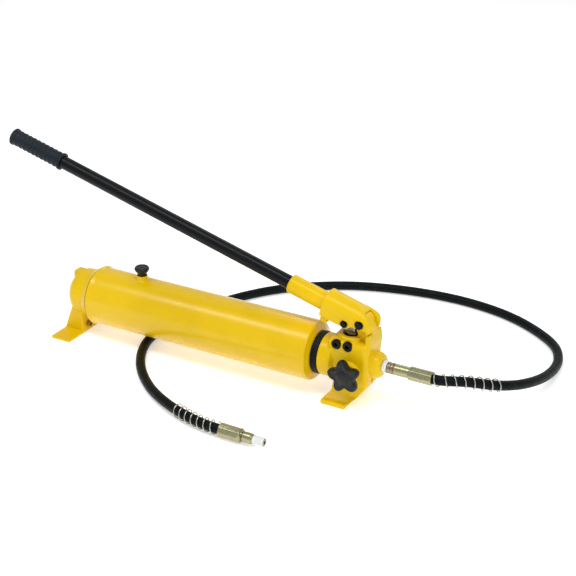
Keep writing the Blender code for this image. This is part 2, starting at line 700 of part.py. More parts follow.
def build_pins():
    pin = lever_place().inverted() @ (Vector(PISTON_PIN) * MM)
    upright = lever_place() @ Matrix.Translation(pin) @ towards("+Y")
    make_pin("pivot_pin", PIVOT_PIN_R, placed("+Y", PIVOT))
    make_pin("piston_pin", PISTON_PIN_R, upright)
    for side, low in (("near", -21.7), ("far", 20.3)):
        make_clip("pivot_pin_clip_" + side, PIVOT_PIN_R, low, placed("+Y", PIVOT))
        make_clip("piston_pin_clip_" + side, PISTON_PIN_R, low, upright)


def make_pin(name, radius, place):
    ends = [(0, 23.4), (radius - 0.7, 23.4), (radius, 22.7), (radius, 21.9),
            (radius * 0.7, 21.9), (radius * 0.7, 20.1), (radius, 20.1)]
    mirrored = [(r, -h) for r, h in reversed(ends)]
    turned(name, ends + mirrored, place, BLACK_STEEL, 14)


def make_clip(name, radius, low, place):
    inner = radius * 0.7 + GAP
    ring = sleeve(name, radius + 1.5, inner, low, low + 1.4, place, BLACK_STEEL, 24)
    mouth = inner * 0.8
    cut(ring, box(name + "_mouth", (-mouth, -radius - 3, low - 1), (mouth, 0, low + 3), None, place))


def build_pole():
    pole = along_pole()
    sleeve("handle_pole", POLE_R, POLE_R - 2.0, POLE_END_U, -47, pole, BLACK_PAINT, 32)
    rod("pole_set_screw", 2.5, -13.6, -10.6, set_screw_place(), BLACK_STEEL, 16)
    inner = POLE_R + GAP
    bore_end = POLE_END_U - GAP
    outline = [(GRIP_END_U, 0), (GRIP_END_U, 12.3), (GRIP_END_U + 0.8, 13.2),
               (GRIP_END_U + 3.4, 13.2), (GRIP_END_U + 4.4, 12.0)]
    ridges = 10
    first = GRIP_END_U + 8.0
    pitch = (GRIP_INNER_U - 8 - first) / ridges
    for index in range(ridges):
        station = first + pitch * index
        outline += [(station, 11.3), (station + pitch * 0.5, 12.3)]
    outline += [(GRIP_INNER_U - 4.4, 11.4), (GRIP_INNER_U - 3.4, 13.6), (GRIP_INNER_U - 0.6, 13.6),
                (GRIP_INNER_U, 12.8), (GRIP_INNER_U, inner), (bore_end, inner), (bore_end, 0)]
    turned("handle_grip", [(r, s) for s, r in reversed(outline)], pole, RUBBER, 16)


# ---------------------------------------------------------------- outlet and hose

def build_outlet():
    place = placed("+X", (0, 0, OUTLET_Z))
    face = OUTLET_FACE_X
    turned_along("outlet_nipple", [(42.6, 2.6), (42.6, 5.4), (43.6, 6.0), (face + 6, 6.0),
                                            (face + 6, 2.6)], place, BRASS, 24, ring=True)
    sleeve("outlet_tape", 9.0, OUTLET_R, face + GAP, face + 3.2, place, TAPE, 24)
    sleeve("swivel_collar", 8.3, 6.3, face + 3.5, face + 12.6, place, BRASS, 24)
    outline = [(face + 12.9, 2.6), (face + 12.9, 7.6), (face + 13.5, 8.0), (99.0, 8.0),
               (99.4, FERRULE_R - 0.8), (100.4, FERRULE_R), (FERRULE_END_X - 1, FERRULE_R),
               (FERRULE_END_X, FERRULE_R - 0.8), (FERRULE_END_X, 2.6)]
    turned_along("hose_ferrule", outline, place, ZINC, 24, ring=True)
    build_far_end()


def build_far_end():
    place = placed("+X", (0, FAR_AXIS_Y, FAR_AXIS_Z))
    start = FAR_HOSE_END_X
    outline = [(start, 2.6), (start, FERRULE_R - 0.8), (start + 1, FERRULE_R),
               (start + 33, FERRULE_R), (start + 34, FERRULE_R - 1), (start + 34.6, 7.6),
               (start + 36, 7.6), (start + 36, 2.6)]
    turned_along("far_ferrule", outline, place, ZINC, 24, ring=True)
    body = start + 36.3
    outline = [(body, 2.6), (body, 7.6), (body + 10, 7.6), (body + 10.6, 6.4), (body + 12.4, 6.4),
               (body + 13, 7.2), (body + 16, 7.2), (body + 16.6, 5.6), (body + 33, 5.6),
               (body + 34, 4.6), (body + 34, 2.6)]
    turned_along("hose_end_fitting", outline, place, ZINC, 24, ring=True)
    sleeve("hose_end_tape", 6.4, 5.9, body + 17, body + 30, place, TAPE, 24)


def smooth_route(route, steps):
    """Evenly spaced points on a centripetal Catmull-Rom curve through the route."""
    knots = [Vector(point) for point in route]
    knots = [2 * knots[0] - knots[1], *knots, 2 * knots[-1] - knots[-2]]
    dense = []
    for index in range(1, len(knots) - 2):
        for part in range(24):
            dense.append(catmull(knots[index - 1:index + 3], part / 24))
    dense.append(knots[-2])
    return evenly(dense, steps)


def catmull(four, share):
    times = [0.0]
    for first, second in zip(four, four[1:]):
        times.append(times[-1] + math.sqrt((second - first).length))
    moment = times[1] + (times[2] - times[1]) * share
    layer = list(four)
    for depth in (1, 2, 3):
        merged = []
        for index in range(len(layer) - 1):
            early, late = window(times, index, depth)
            merged.append(layer[index].lerp(layer[index + 1], (moment - early) / (late - early)))
        layer = merged
    return layer[0]


def window(times, index, depth):
    """Knot span that one step of the Catmull-Rom pyramid blends over."""
    spans = {1: (index, index + 1), 2: (index, index + 2), 3: (1, 2)}
    early, late = spans[depth]
    return times[early], times[late]


def evenly(points, steps):
    lengths = [0.0]
    for first, second in zip(points, points[1:]):
        lengths.append(lengths[-1] + (second - first).length)
    spaced = []
    cursor = 0
    for index in range(steps + 1):
        goal = lengths[-1] * index / steps
        while cursor < len(points) - 2 and lengths[cursor + 1] < goal:
            cursor += 1
        span = lengths[cursor + 1] - lengths[cursor]
        spaced.append(points[cursor].lerp(points[cursor + 1], (goal - lengths[cursor]) / span))
    return spaced


def build_hose():
    points = smooth_route(HOSE_ROUTE, HOSE_STEPS)
    straight = Vector((4.0, 0, 0))
    points.insert(1, points[0] + straight)
    points.insert(-1, points[-1] - straight)
    tube("hose", points, HOSE_R, 2, HOSE_RUBBER)
    fine = smooth_route(HOSE_ROUTE, 1600)
    make_guard("hose_guard_pump_side", fine, GUARD_LENGTHS[0])
    make_guard("hose_guard_far_side", list(reversed(fine)), GUARD_LENGTHS[1])


def make_guard(name, path, length, per_turn=9):
    """Open wire helix around the first `length` of the path."""
    radius = HOSE_R + GUARD_GAP + GUARD_WIRE_R
    step = (path[1] - path[0]).length
    first = int(2.0 / step) + 1
    last = int(length / step)
    side = Vector((0, 0, 1))
    count = GUARD_TURNS * per_turn
    points = []
    for index in range(count + 1):
        place = first + (last - first) * index // count
        forward = (path[place + 1] - path[place]).normalized()
        side = (side - forward * side.dot(forward)).normalized()
        across = forward.cross(side)
        angle = 2 * math.pi * index / per_turn
        points.append(path[place] + radius * (side * math.cos(angle) + across * math.sin(angle)))
    return tube(name, points, GUARD_WIRE_R, 0, BLACK_STEEL)


clear_scene()
PARTS = new_collection("hydraulic_hand_pump")
CUTTERS = new_collection("cutters")

YELLOW = make_material("pump_yellow", (0.84, 0.55, 0.02), 0.35)
TANK_YELLOW = make_material("tank_yellow", (0.86, 0.58, 0.03), 0.3)
BLACK_PLASTIC = make_material("black_plastic", (0.012, 0.013, 0.015), 0.4)
BLACK_PAINT = make_material("black_paint", (0.015, 0.018, 0.022), 0.3)
RUBBER = make_material("black_rubber", (0.015, 0.015, 0.016), 0.65)
HOSE_RUBBER = make_material("hose_rubber", (0.02, 0.022, 0.026), 0.5)
BLACK_STEEL = make_material("black_steel", (0.03, 0.03, 0.035), 0.4, 0.9)
STEEL = make_material("steel", (0.5, 0.5, 0.5), 0.35, 1.0)
BALL_STEEL = make_material("ball_steel", (0.7, 0.7, 0.72), 0.12, 1.0)
CHROME = make_material("chrome", (0.8, 0.8, 0.82), 0.1, 1.0)
BRASS = make_material("brass", (0.62, 0.48, 0.3), 0.35, 1.0)
ZINC = make_material("yellow_zinc", (0.56, 0.52, 0.36), 0.35, 1.0)
TAPE = make_material("thread_tape", (0.85, 0.86, 0.86), 0.6)

build_tank()
build_rear_cover()
build_tie_rod()
build_head()
build_tank_seal()
build_valve_plugs()
build_check_valves()
build_piston()
build_release_valve()
build_lever()
build_pins()
build_pole()
build_outlet()
build_hose()
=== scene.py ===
"""Looks of the hydraulic hand pump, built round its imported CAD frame.

Lengths are millimetres in the constants and in every function here, and metres in the meshes,
the camera, the lights and the floor.
The frame is the CAD model's own: +X along the tank towards the outlet, +Z up, floor at z = 0.
"""

import json
import math

import bmesh
import bpy
from mathutils import Matrix, Vector


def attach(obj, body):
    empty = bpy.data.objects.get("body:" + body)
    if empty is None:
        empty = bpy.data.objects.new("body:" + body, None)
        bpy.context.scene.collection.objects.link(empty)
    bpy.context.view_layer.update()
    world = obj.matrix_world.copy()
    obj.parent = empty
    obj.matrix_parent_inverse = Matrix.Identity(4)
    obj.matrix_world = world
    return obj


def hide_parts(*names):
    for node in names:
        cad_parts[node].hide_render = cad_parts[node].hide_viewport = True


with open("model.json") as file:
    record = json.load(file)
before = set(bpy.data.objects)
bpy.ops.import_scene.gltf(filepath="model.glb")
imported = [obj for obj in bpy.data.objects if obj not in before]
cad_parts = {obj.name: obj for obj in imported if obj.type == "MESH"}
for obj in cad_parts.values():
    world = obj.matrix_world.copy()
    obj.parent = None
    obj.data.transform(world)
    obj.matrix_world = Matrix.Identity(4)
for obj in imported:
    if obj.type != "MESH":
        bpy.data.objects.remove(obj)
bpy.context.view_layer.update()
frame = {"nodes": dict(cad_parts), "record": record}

MM = 0.001

# Camera
CAMERA_AZIMUTH = 29.4
CAMERA_ELEVATION = 25.3
CAMERA_PLACE = (0.8276, -1.6374, 1.0366)
CAMERA_LENS = 90.6

# Lights: name, place, target, width, height, watts
LIGHTS = (
    ("key", (-0.15, -0.53, 1.57), (-0.15, 0.0, 0.06), 2.2, 0.4, 15),
    ("fill", (1.7, -1.0, 1.2), (0.0, 0.0, 0.06), 0.8, 0.8, 6),
    ("rim", (-0.2, 1.6, 1.3), (-0.1, 0.0, 0.05), 1.6, 0.6, 5),
)
WORLD_STRENGTH = 0.53
FLOOR_GLOW = 0.42
FLOOR_HALF = 60
FLOOR_DROP = 0.0004

# Dimensions shared with the CAD model
AXIS_Z = 59.5
TANK_R = 44.5
TANK_FRONT_X = -45.4
TANK_REAR_X = -428.0
FILLER_X = -350.0
COLLAR_X = -31.9
SPIGOT_R = 27.0
PISTON_X = 10.5
PLUG_Z = 91.8
PLUG_X = {"unloading": -3.5, "relief": 14.2}
RELEASE_X = 19.5
RELEASE_Z = 54.7
OUTLET_Z = 62.0
FRONT_SLOT = (-5.3, 37.1)
OUTLET_FACE_X = 60.0
PIVOT = (29.5, 0.0, 127.8)
PISTON_PIN = (6.0, 0.0, 124.0)
LEVER_ANGLE = math.radians(15.7)
POLE_N = -4.0
POLE_R = 10.0
SOCKET_END_U = -122.8
GRIP_INNER_U = -535.4
GRIP_END_U = -630.0
FERRULE_R = 10.3
FERRULE_END_X = 136.0
FAR_AXIS_Y = -188.0
FAR_AXIS_Z = 10.6
FAR_HOSE_END_X = -95.5
HOSE_R = 7.25
GUARD_LENGTHS = (100.0, 86.0)
HOSE_ROUTE = (
    (136.4, 0.0, 62.0), (144.0, 0.4, 62.0), (153.0, 4.0, 61.5), (162.5, 9.6, 60.8),
    (171.5, 16.0, 59.6), (182.3, 24.6, 57.2), (193.5, 34.4, 53.5), (204.1, 45.6, 49.0),
    (213.9, 59.0, 44.2), (222.8, 74.8, 39.2), (230.8, 93.6, 33.8), (237.5, 116.6, 28.0),
    (242.4, 143.7, 21.6), (244.4, 173.2, 15.6), (243.4, 203.0, 11.0), (239.2, 230.0, 8.4),
    (231.8, 252.0, 7.6), (221.5, 271.0, 7.5), (205.5, 289.0, 7.5), (184.5, 305.6, 7.5),
    (161.9, 319.9, 7.5), (134.0, 334.0, 7.5), (101.5, 345.4, 7.5), (63.7, 353.2, 7.5),
    (27.4, 356.4, 7.5), (-7.9, 355.6, 7.5), (-42.1, 351.8, 7.5), (-75.9, 345.2, 7.5),
    (-115.0, 334.5, 7.5), (-154.4, 318.6, 7.5), (-197.0, 293.5, 7.5), (-238.1, 261.5, 7.5),
    (-262.0, 235.8, 7.5), (-282.6, 207.3, 7.5), (-302.0, 173.0, 7.5), (-318.5, 136.0, 7.5),
    (-331.0, 97.0, 7.5), (-338.5, 58.0, 7.5), (-340.5, 22.0, 7.5), (-336.3, -11.7, 7.5),
    (-325.5, -42.5, 7.5), (-309.7, -70.5, 7.5), (-290.5, -95.6, 7.5), (-267.3, -118.4, 7.5),
    (-241.3, -139.0, 8.0), (-209.5, -158.0, 9.2), (-172.5, -174.5, 10.3), (-140.0, -183.6, 10.6),
    (-112.0, -187.6, 10.6), (-95.8, -188.0, 10.6),
)

# Dimensions of the visual pieces alone; the CAD's knob and guards are a little different
KNOB_R = 21.6
KNOB_WAVE = 4.5
KNOB_DIP = 0.4
KNOB_LOBES = 5
KNOB_TURN = math.radians(101)
KNOB_STEPS = 200
CRIMP_GROOVE = 0.06
GUARD_TURNS = 7.5
GUARD_STEPS = 28
GUARD_WIRE_R = 0.85


# ---------------------------------------------------------------- camera, lights and floor

def build_camera():
    azimuth = math.radians(CAMERA_AZIMUTH)
    elevation = math.radians(CAMERA_ELEVATION)
    back = Vector((math.sin(azimuth) * math.cos(elevation),
                   -math.cos(azimuth) * math.cos(elevation), math.sin(elevation)))
    camera = bpy.data.objects.new("camera", bpy.data.cameras.new("camera"))
    camera.data.sensor_width = 36.0
    camera.data.lens = CAMERA_LENS
    camera.location = CAMERA_PLACE
    camera.rotation_mode = "QUATERNION"
    camera.rotation_quaternion = (-back).to_track_quat("-Z", "Y")
    bpy.context.scene.collection.objects.link(camera)
    bpy.context.scene.camera = camera


def build_light(name, place, target, width, height, power):
    data = bpy.data.lights.new(name, "AREA")
    data.shape = "RECTANGLE"
    data.size = width
    data.size_y = height
    data.energy = power
    light = bpy.data.objects.new(name, data)
    light.location = place
    light.rotation_mode = "QUATERNION"
    light.rotation_quaternion = (Vector(target) - Vector(place)).to_track_quat("-Z", "Y")
    bpy.context.scene.collection.objects.link(light)


def build_studio():
    world = bpy.data.worlds.new("studio")
    world.use_nodes = True
    background = world.node_tree.nodes["Background"]
    background.inputs["Color"].default_value = (1.0, 1.0, 1.0, 1.0)
    background.inputs["Strength"].default_value = WORLD_STRENGTH
    bpy.context.scene.world = world
    bpy.context.scene.view_settings.view_transform = "Standard"
    for light in LIGHTS:
        build_light(*light)
    half = FLOOR_HALF
    mesh = bpy.data.meshes.new("floor")
    mesh.from_pydata([(-half, -half, 0), (half, -half, 0), (half, half, 0), (-half, half, 0)], [],
                     [(0, 1, 2, 3)])
    floor = bpy.data.objects.new("floor", mesh)
    floor.location.z = -FLOOR_DROP
    bpy.context.scene.collection.objects.link(floor)
    material, shader, _ = new_material("floor_paper", (0.93, 0.93, 0.93), 0.9)
    shader.inputs["Emission Color"].default_value = (1.0, 1.0, 1.0, 1.0)
    shader.inputs["Emission Strength"].default_value = FLOOR_GLOW
    mesh.materials.append(material)


# ---------------------------------------------------------------- materials

class Graph:
    """Short ways to add nodes to one material."""

    def __init__(self, material):
        self.tree = material.node_tree
        self.shader = self.tree.nodes["Principled BSDF"]
        self.place = self.add("ShaderNodeTexCoord").outputs["Object"]

    def add(self, kind, **values):
        node = self.tree.nodes.new(kind)
        for name, value in values.items():
            setattr(node, name, value)
        return node

    def link(self, start, end):
        self.tree.links.new(start, end)

    def stretched(self, x, y, z):
        """Object coordinates scaled by axis, for grain that runs one way."""
        mapping = self.add("ShaderNodeMapping")
        mapping.inputs["Scale"].default_value = (x, y, z)
        self.link(self.place, mapping.inputs["Vector"])
        return mapping.outputs["Vector"]

    def noise(self, scale, detail=3.0, place=None):
        node = self.add("ShaderNodeTexNoise")
        node.inputs["Scale"].default_value = scale
        node.inputs["Detail"].default_value = detail
        self.link(place or self.place, node.inputs["Vector"])
        return node.outputs["Fac"]

    def ranged(self, value, low, high, new_low, new_high):
        node = self.add("ShaderNodeMapRange")
        for name, number in (("From Min", low), ("From Max", high), ("To Min", new_low),
                             ("To Max", new_high)):
            node.inputs[name].default_value = number
        self.link(value, node.inputs["Value"])
        return node.outputs["Result"]

    def mixed(self, factor, first, second):
        """Blend two colours, each a colour or another node's output."""
        node = self.add("ShaderNodeMix", data_type="RGBA")
        self.link(factor, node.inputs["Factor"])
        sockets = [s for s in node.inputs if s.type == "RGBA"]
        for socket, value in zip(sockets, (first, second)):
            if isinstance(value, tuple):
                socket.default_value = (*value, 1.0)
            else:
                self.link(value, socket)
        return [s for s in node.outputs if s.type == "RGBA"][0]

    def bumped(self, *layers):
        """Stack height layers of (value, depth in millimetres, strength) on the shader."""
        normal = None
        for value, depth, strength in layers:
            node = self.add("ShaderNodeBump")
            node.inputs["Strength"].default_value = strength
            node.inputs["Distance"].default_value = depth * MM
            self.link(value, node.inputs["Height"])
            if normal is not None:
                self.link(normal, node.inputs["Normal"])
            normal = node.outputs["Normal"]
        self.link(normal, self.shader.inputs["Normal"])


def new_material(name, colour, roughness, metallic=0.0):
    material = bpy.data.materials.new(name)
    material.use_nodes = True
    graph = Graph(material)
    graph.shader.inputs["Base Color"].default_value = (*colour, 1.0)
    graph.shader.inputs["Roughness"].default_value = roughness
    graph.shader.inputs["Metallic"].default_value = metallic
    return material, graph.shader, graph


def shade(colour, factor):
    return tuple(min(1.0, channel * factor) for channel in colour)


def enamel(name, colour, grain, grain_depth, roughness, coat=0.3):
    """Sprayed enamel: orange peel, cloudy colour, sharp edges lightened as a painted highlight,
    hollows darkened as painted shade.
    """
    material, shader, graph = new_material(name, colour, roughness)
    shader.inputs["Specular IOR Level"].default_value = 0.15
    shader.inputs["Specular Tint"].default_value = (1.0, 0.8, 0.3, 1.0)
    shader.inputs["Coat Weight"].default_value = coat
    shader.inputs["Coat Roughness"].default_value = 0.22
    cloud = graph.ranged(graph.noise(14, 4), 0.35, 0.65, 0.0, 1.0)
    base = graph.mixed(cloud, shade(colour, 0.93), shade(colour, 1.04))
    # Pointiness: sharp edges get a painted highlight, hollows get a painted shade
    edge = graph.add("ShaderNodeNewGeometry").outputs["Pointiness"]
    painted_edge_highlight = graph.ranged(edge, 0.53, 0.62, 0.0, 0.35)
    base = graph.mixed(painted_edge_highlight, base, shade(colour, 1.18))
    painted_hollow_shade = graph.ranged(edge, 0.47, 0.40, 0.0, 0.45)
    base = graph.mixed(painted_hollow_shade, base, shade(colour, 0.62))
    graph.link(base, shader.inputs["Base Color"])
    graph.link(graph.ranged(graph.noise(60, 5), 0.3, 0.7, roughness - 0.07, roughness + 0.1),
               shader.inputs["Roughness"])
    graph.bumped((graph.noise(grain, 4), grain_depth, 0.5), (graph.noise(520, 2), 0.03, 0.4))
    return material


def rubber(name, colour, roughness):
    """Matt rubber with a fine grain and a little grey bloom."""
    material, shader, graph = new_material(name, colour, roughness)
    shader.inputs["Specular IOR Level"].default_value = 0.14
    bloom = graph.ranged(graph.noise(22, 6), 0.45, 0.75, 0.0, 0.25)
    graph.link(graph.mixed(bloom, colour, (0.035, 0.041, 0.048)), shader.inputs["Base Color"])
    graph.link(graph.ranged(graph.noise(90, 4), 0.3, 0.7, roughness - 0.1, roughness + 0.12),
               shader.inputs["Roughness"])
    graph.bumped((graph.noise(1500, 3), 0.12, 0.5), (graph.noise(260, 2), 0.1, 0.25))
    return material


def hose_cover(name):
    """Smooth extruded cover with faint wrap marks, scuffs and a bluish sheen."""
    colour = (0.003, 0.0042, 0.0048)
    material, shader, graph = new_material(name, colour, 0.42)
    shader.inputs["Specular IOR Level"].default_value = 0.1
    shader.inputs["Specular Tint"].default_value = (0.8, 0.95, 1.0, 1.0)
    scuff = graph.ranged(graph.noise(75, 8), 0.55, 0.72, 0.0, 0.5)
    graph.link(graph.mixed(scuff, colour, (0.014, 0.017, 0.02)), shader.inputs["Base Color"])
    graph.link(graph.ranged(graph.noise(130, 5), 0.3, 0.7, 0.34, 0.52),
               shader.inputs["Roughness"])
    graph.bumped((graph.noise(900, 2), 0.08, 0.35), (graph.noise(150, 1), 0.15, 0.2))
    return material


def plastic(name, colour, roughness):
    """Moulded plastic with a fine spark-eroded grain and handling marks."""
    material, shader, graph = new_material(name, colour, roughness)
    shader.inputs["Specular IOR Level"].default_value = 0.3
    mark = graph.ranged(graph.noise(110, 7), 0.56, 0.7, 0.0, 0.3)
    graph.link(graph.mixed(mark, colour, (0.03, 0.032, 0.035)),
               shader.inputs["Base Color"])
    graph.link(graph.ranged(graph.noise(160, 4), 0.3, 0.7, roughness - 0.08, roughness + 0.1),
               shader.inputs["Roughness"])
    graph.bumped((graph.noise(1700, 3), 0.06, 0.4))
    return material


def metal(name, colour, tint, roughness, lines=None, grain=0.05):
    """Bare or plated metal: cloudy tint, turning lines across `lines`, and small scratches."""
    material, shader, graph = new_material(name, colour, roughness, 1.0)
    cloud = graph.ranged(graph.noise(70, 5), 0.35, 0.65, 0.0, 1.0)
    base = graph.mixed(cloud, colour, tint)
    stain = graph.ranged(graph.noise(230, 6), 0.6, 0.75, 0.0, 0.4)
    base = graph.mixed(stain, base, shade(colour, 0.5))
    graph.link(base, shader.inputs["Base Color"])
    graph.link(graph.ranged(graph.noise(300, 5), 0.3, 0.7, roughness - 0.07, roughness + 0.12),
               shader.inputs["Roughness"])
    along = graph.stretched(*(lines or (1.0, 1.0, 1.0)))
    graph.bumped((graph.noise(1100, 3, along), grain, 0.5), (graph.noise(400, 4), grain, 0.25))
    return material


def painted_black(name):
    """Black gloss paint with thin scratches along the pole."""
    colour = (0.003, 0.004, 0.005)
    material, shader, graph = new_material(name, colour, 0.3)
    shader.inputs["Specular IOR Level"].default_value = 0.16
    scratch = graph.ranged(graph.noise(120, 6, graph.stretched(0.15, 2.0, 2.0)), 0.6, 0.7, 0.0, 0.5)
    graph.link(graph.mixed(scratch, colour, (0.014, 0.016, 0.019)), shader.inputs["Base Color"])
    graph.link(graph.ranged(graph.noise(80, 4), 0.3, 0.7, 0.24, 0.4), shader.inputs["Roughness"])
    graph.bumped((graph.noise(420, 3), 0.05, 0.35))
    return material


def thread_tape(name):
    """White thread-seal tape: wrapped layers seen as fine ridges round the thread."""
    material, shader, graph = new_material(name, (0.86, 0.87, 0.87), 0.55)
    fold = graph.ranged(graph.noise(500, 5, graph.stretched(3.0, 0.6, 0.6)), 0.35, 0.65, 0.0, 1.0)
    graph.link(graph.mixed(fold, (0.72, 0.73, 0.74), (0.93, 0.94, 0.94)),
               shader.inputs["Base Color"])
    shader.inputs["Subsurface Weight"].default_value = 0.1
    graph.bumped((fold, 0.25, 0.6), (graph.noise(1800, 2), 0.05, 0.4))
    return material


def build_materials():
    yellow = (0.79, 0.515, 0.001)
    return {
        "body_paint": enamel("cast_enamel", yellow, 750, 0.16, 0.33),
        "tank_paint": enamel("tank_enamel", shade(yellow, 0.98), 300, 0.05, 0.24, coat=0.6),
        # Darker brown enamel: painted shade along the gasket's groove, and also the foot screw's
        # paint
        "seam_shade_and_screw_enamel": enamel("seam_shade_and_screw_enamel", (0.30, 0.17, 0.01), 750, 0.16, 0.4),
        "pole_paint": painted_black("pole_paint"),
        "black_plastic": plastic("black_plastic", (0.006, 0.0075, 0.009), 0.34),
        "soft_rubber": rubber("soft_rubber", (0.004, 0.006, 0.0075), 0.55),
        "grip_rubber": rubber("grip_rubber", (0.012, 0.018, 0.024), 0.5),
        "hose_rubber": hose_cover("hose_cover"),
        "black_steel": metal("black_steel", (0.012, 0.012, 0.014), (0.022, 0.022, 0.026), 0.36),
        "zinc": metal("yellow_zinc", (0.37, 0.38, 0.21), (0.40, 0.37, 0.23), 0.3, (6, 0.4, 0.4)),
        "brass": metal("turned_brass", (0.36, 0.29, 0.20), (0.29, 0.25, 0.18), 0.3, (6, 0.4, 0.4)),
        "tape": thread_tape("thread_tape"),
        "steel": metal("plain_steel", (0.48, 0.48, 0.49), (0.56, 0.55, 0.53), 0.32),
        "guard_wire": metal("guard_wire", (0.42, 0.42, 0.36), (0.52, 0.51, 0.45), 0.3),
        "ball_steel": metal("ball_steel", (0.70, 0.70, 0.72), (0.62, 0.62, 0.64), 0.12, None, 0.01),
        "chrome": metal("hard_chrome", (0.30, 0.30, 0.31), (0.22, 0.22, 0.23), 0.15, None, 0.01),
    }


def dress_frame():
    """Every carried-over CAD node takes its slot's material and smooth shading."""
    for part in frame["record"]["subparts"]:
        node = frame["nodes"][part["node"]]
        node.data.materials.clear()
        node.data.materials.append(MATERIALS[part["material_slot"]])
        node.data.shade_smooth()
        node.data.set_sharp_from_angle(angle=math.radians(35))
    # The gasket's edge and the foot screw are painted over; both take a darker brown enamel, which
    # on the gasket is painted shade for the groove between cover and tank
    for name in ("rear_cover_gasket", "foot_screw"):
        frame["nodes"][name].data.materials[0] = MATERIALS["seam_shade_and_screw_enamel"]


# ---------------------------------------------------------------- placing

def towards(axis):
    """Rotation that takes local +Z to the named direction."""
    turns = {
        "+Z": Matrix.Identity(4),
        "+X": Matrix.Rotation(math.pi / 2, 4, "Y"),
        "+Y": Matrix.Rotation(-math.pi / 2, 4, "X"),
        "-Y": Matrix.Rotation(math.pi / 2, 4, "X"),
    }
    return turns[axis]


def placed(axis, origin):
    return Matrix.Translation(Vector(origin) * MM) @ towards(axis)


def lever_place():
    """The lever's own frame: origin on the pivot, +X along the pole towards the nose."""
    return Matrix.Translation(Vector(PIVOT) * MM) @ Matrix.Rotation(LEVER_ANGLE, 4, "Y")


def along_pole():
    return lever_place() @ Matrix.Translation((0, 0, POLE_N * MM)) @ towards("+X")


def keep(name, mesh, slot, body, *nodes, sharp=35):
    """Finish a new piece: material, shading, the body it rides on and the nodes it replaces."""
    piece = bpy.data.objects.new(name, mesh)
    bpy.context.scene.collection.objects.link(piece)
    mesh.materials.clear()
    mesh.materials.append(MATERIALS[slot])
    mesh.shade_smooth()
    mesh.set_sharp_from_angle(angle=math.radians(sharp))
    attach(piece, body)
    if nodes:
        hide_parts(*nodes)
    return piece


def evaluated(item):
    """The mesh an object has after its modifiers, in the row frame; the object is removed."""
    view = bpy.context.evaluated_depsgraph_get()
    mesh = bpy.data.meshes.new_from_object(item.evaluated_get(view))
    mesh.transform(item.matrix_world)
    bpy.data.objects.remove(item, do_unlink=True)
    return mesh


# ---------------------------------------------------------------- shapes

def rounded(outline, radius, steps=4):
    """Outline with each corner replaced by a small arc."""
    points = []
    count = len(outline)
    for index, corner in enumerate(outline):
        here = Vector(corner)
        before = Vector(outline[index - 1]) - here
        after = Vector(outline[(index + 1) % count]) - here
        reach = min(radius, before.length * 0.45, after.length * 0.45)
        start = here + before.normalized() * reach
        end = here + after.normalized() * reach
        for part in range(steps + 1):
            share = part / steps
            spot = start.lerp(here, share).lerp(here.lerp(end, share), share)
            points.append((spot.x, spot.y))
    return points


def revolved(outline, place, steps=96):
    """Closed outline of (station, radius) turned about local Z; points at radius 0 are poles."""
    points = []
    rings = []
    for station, radius in outline:
        if radius < 1e-6:
            rings.append(add_pole(points, station, steps))
        else:
            rings.append(add_ring(points, station, steps, lambda angle: radius))
    return ring_mesh("revolved", points, rings, rings[1:] + rings[:1], place)


def add_ring(points, station, steps, reach):
    """Add a ring of vertices whose radius at an angle is reach(angle); return their numbers."""
    start = len(points)
    for index in range(steps):
        angle = 2 * math.pi * index / steps
        radius = reach(angle)
        points.append((radius * math.cos(angle) * MM, radius * math.sin(angle) * MM,
                       station * MM))
    return list(range(start, start + steps))


def add_pole(points, station, steps):
    """Add one vertex on the axis; return its number as a ring shrunk to a point."""
    points.append((0, 0, station * MM))
    return [len(points) - 1] * steps


def ring_mesh(name, points, rings, partners, place):
    """Mesh with a band of faces from each ring to its partner, moved to `place`."""
    faces = []
    for first, second in zip(rings, partners):
        faces += band(first, second)
    mesh = bpy.data.meshes.new(name)
    mesh.from_pydata(points, [], faces)
    mesh.transform(place)
    face_outwards(mesh)
    return mesh


def band(first, second):
    """Faces between two rings of vertices, leaving out edges that have shrunk to a pole."""
    faces = []
    count = len(first)
    for index in range(count):
        after = (index + 1) % count
        corners = [first[index], first[after], second[after], second[index]]
        unique = list(dict.fromkeys(corners))
        if len(unique) > 2:
            faces.append(unique)
    return faces


def face_outwards(mesh):
    shape = bmesh.new()
    shape.from_mesh(mesh)
    bmesh.ops.recalc_face_normals(shape, faces=shape.faces)
    shape.to_mesh(mesh)
    shape.free()


def turned(name, outline, place, slot, body, *nodes, radius=0.6, steps=96, sharp=35):
    """Turned piece from a closed (station, radius) outline with rounded corners."""
    solid = [(s, r) for s, r in rounded(outline, radius)] if radius else outline
    cleaned = [(s, 0.0 if r < 0.02 else r) for s, r in solid]
    return keep(name, revolved(cleaned, place, steps), slot, body, *nodes, sharp=sharp)


def tube_along(name, points, radius, slot, body, *nodes, sides=8):
    """Round bar along a list of points, as a curve with rounded section and filled ends."""
    curve = bpy.data.curves.new(name, "CURVE")
    curve.dimensions = "3D"
    curve.bevel_depth = radius * MM
    curve.bevel_resolution = sides
    curve.use_fill_caps = True
    spline = curve.splines.new("POLY")
    spline.points.add(len(points) - 1)
    for point, spot in zip(spline.points, points):
        point.co = (*(Vector(spot) * MM), 1)
    spline.use_smooth = True
    curve.materials.append(MATERIALS[slot])
    piece = bpy.data.objects.new(name, curve)
    bpy.context.scene.collection.objects.link(piece)
    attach(piece, body)
    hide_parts(*nodes)
    return piece


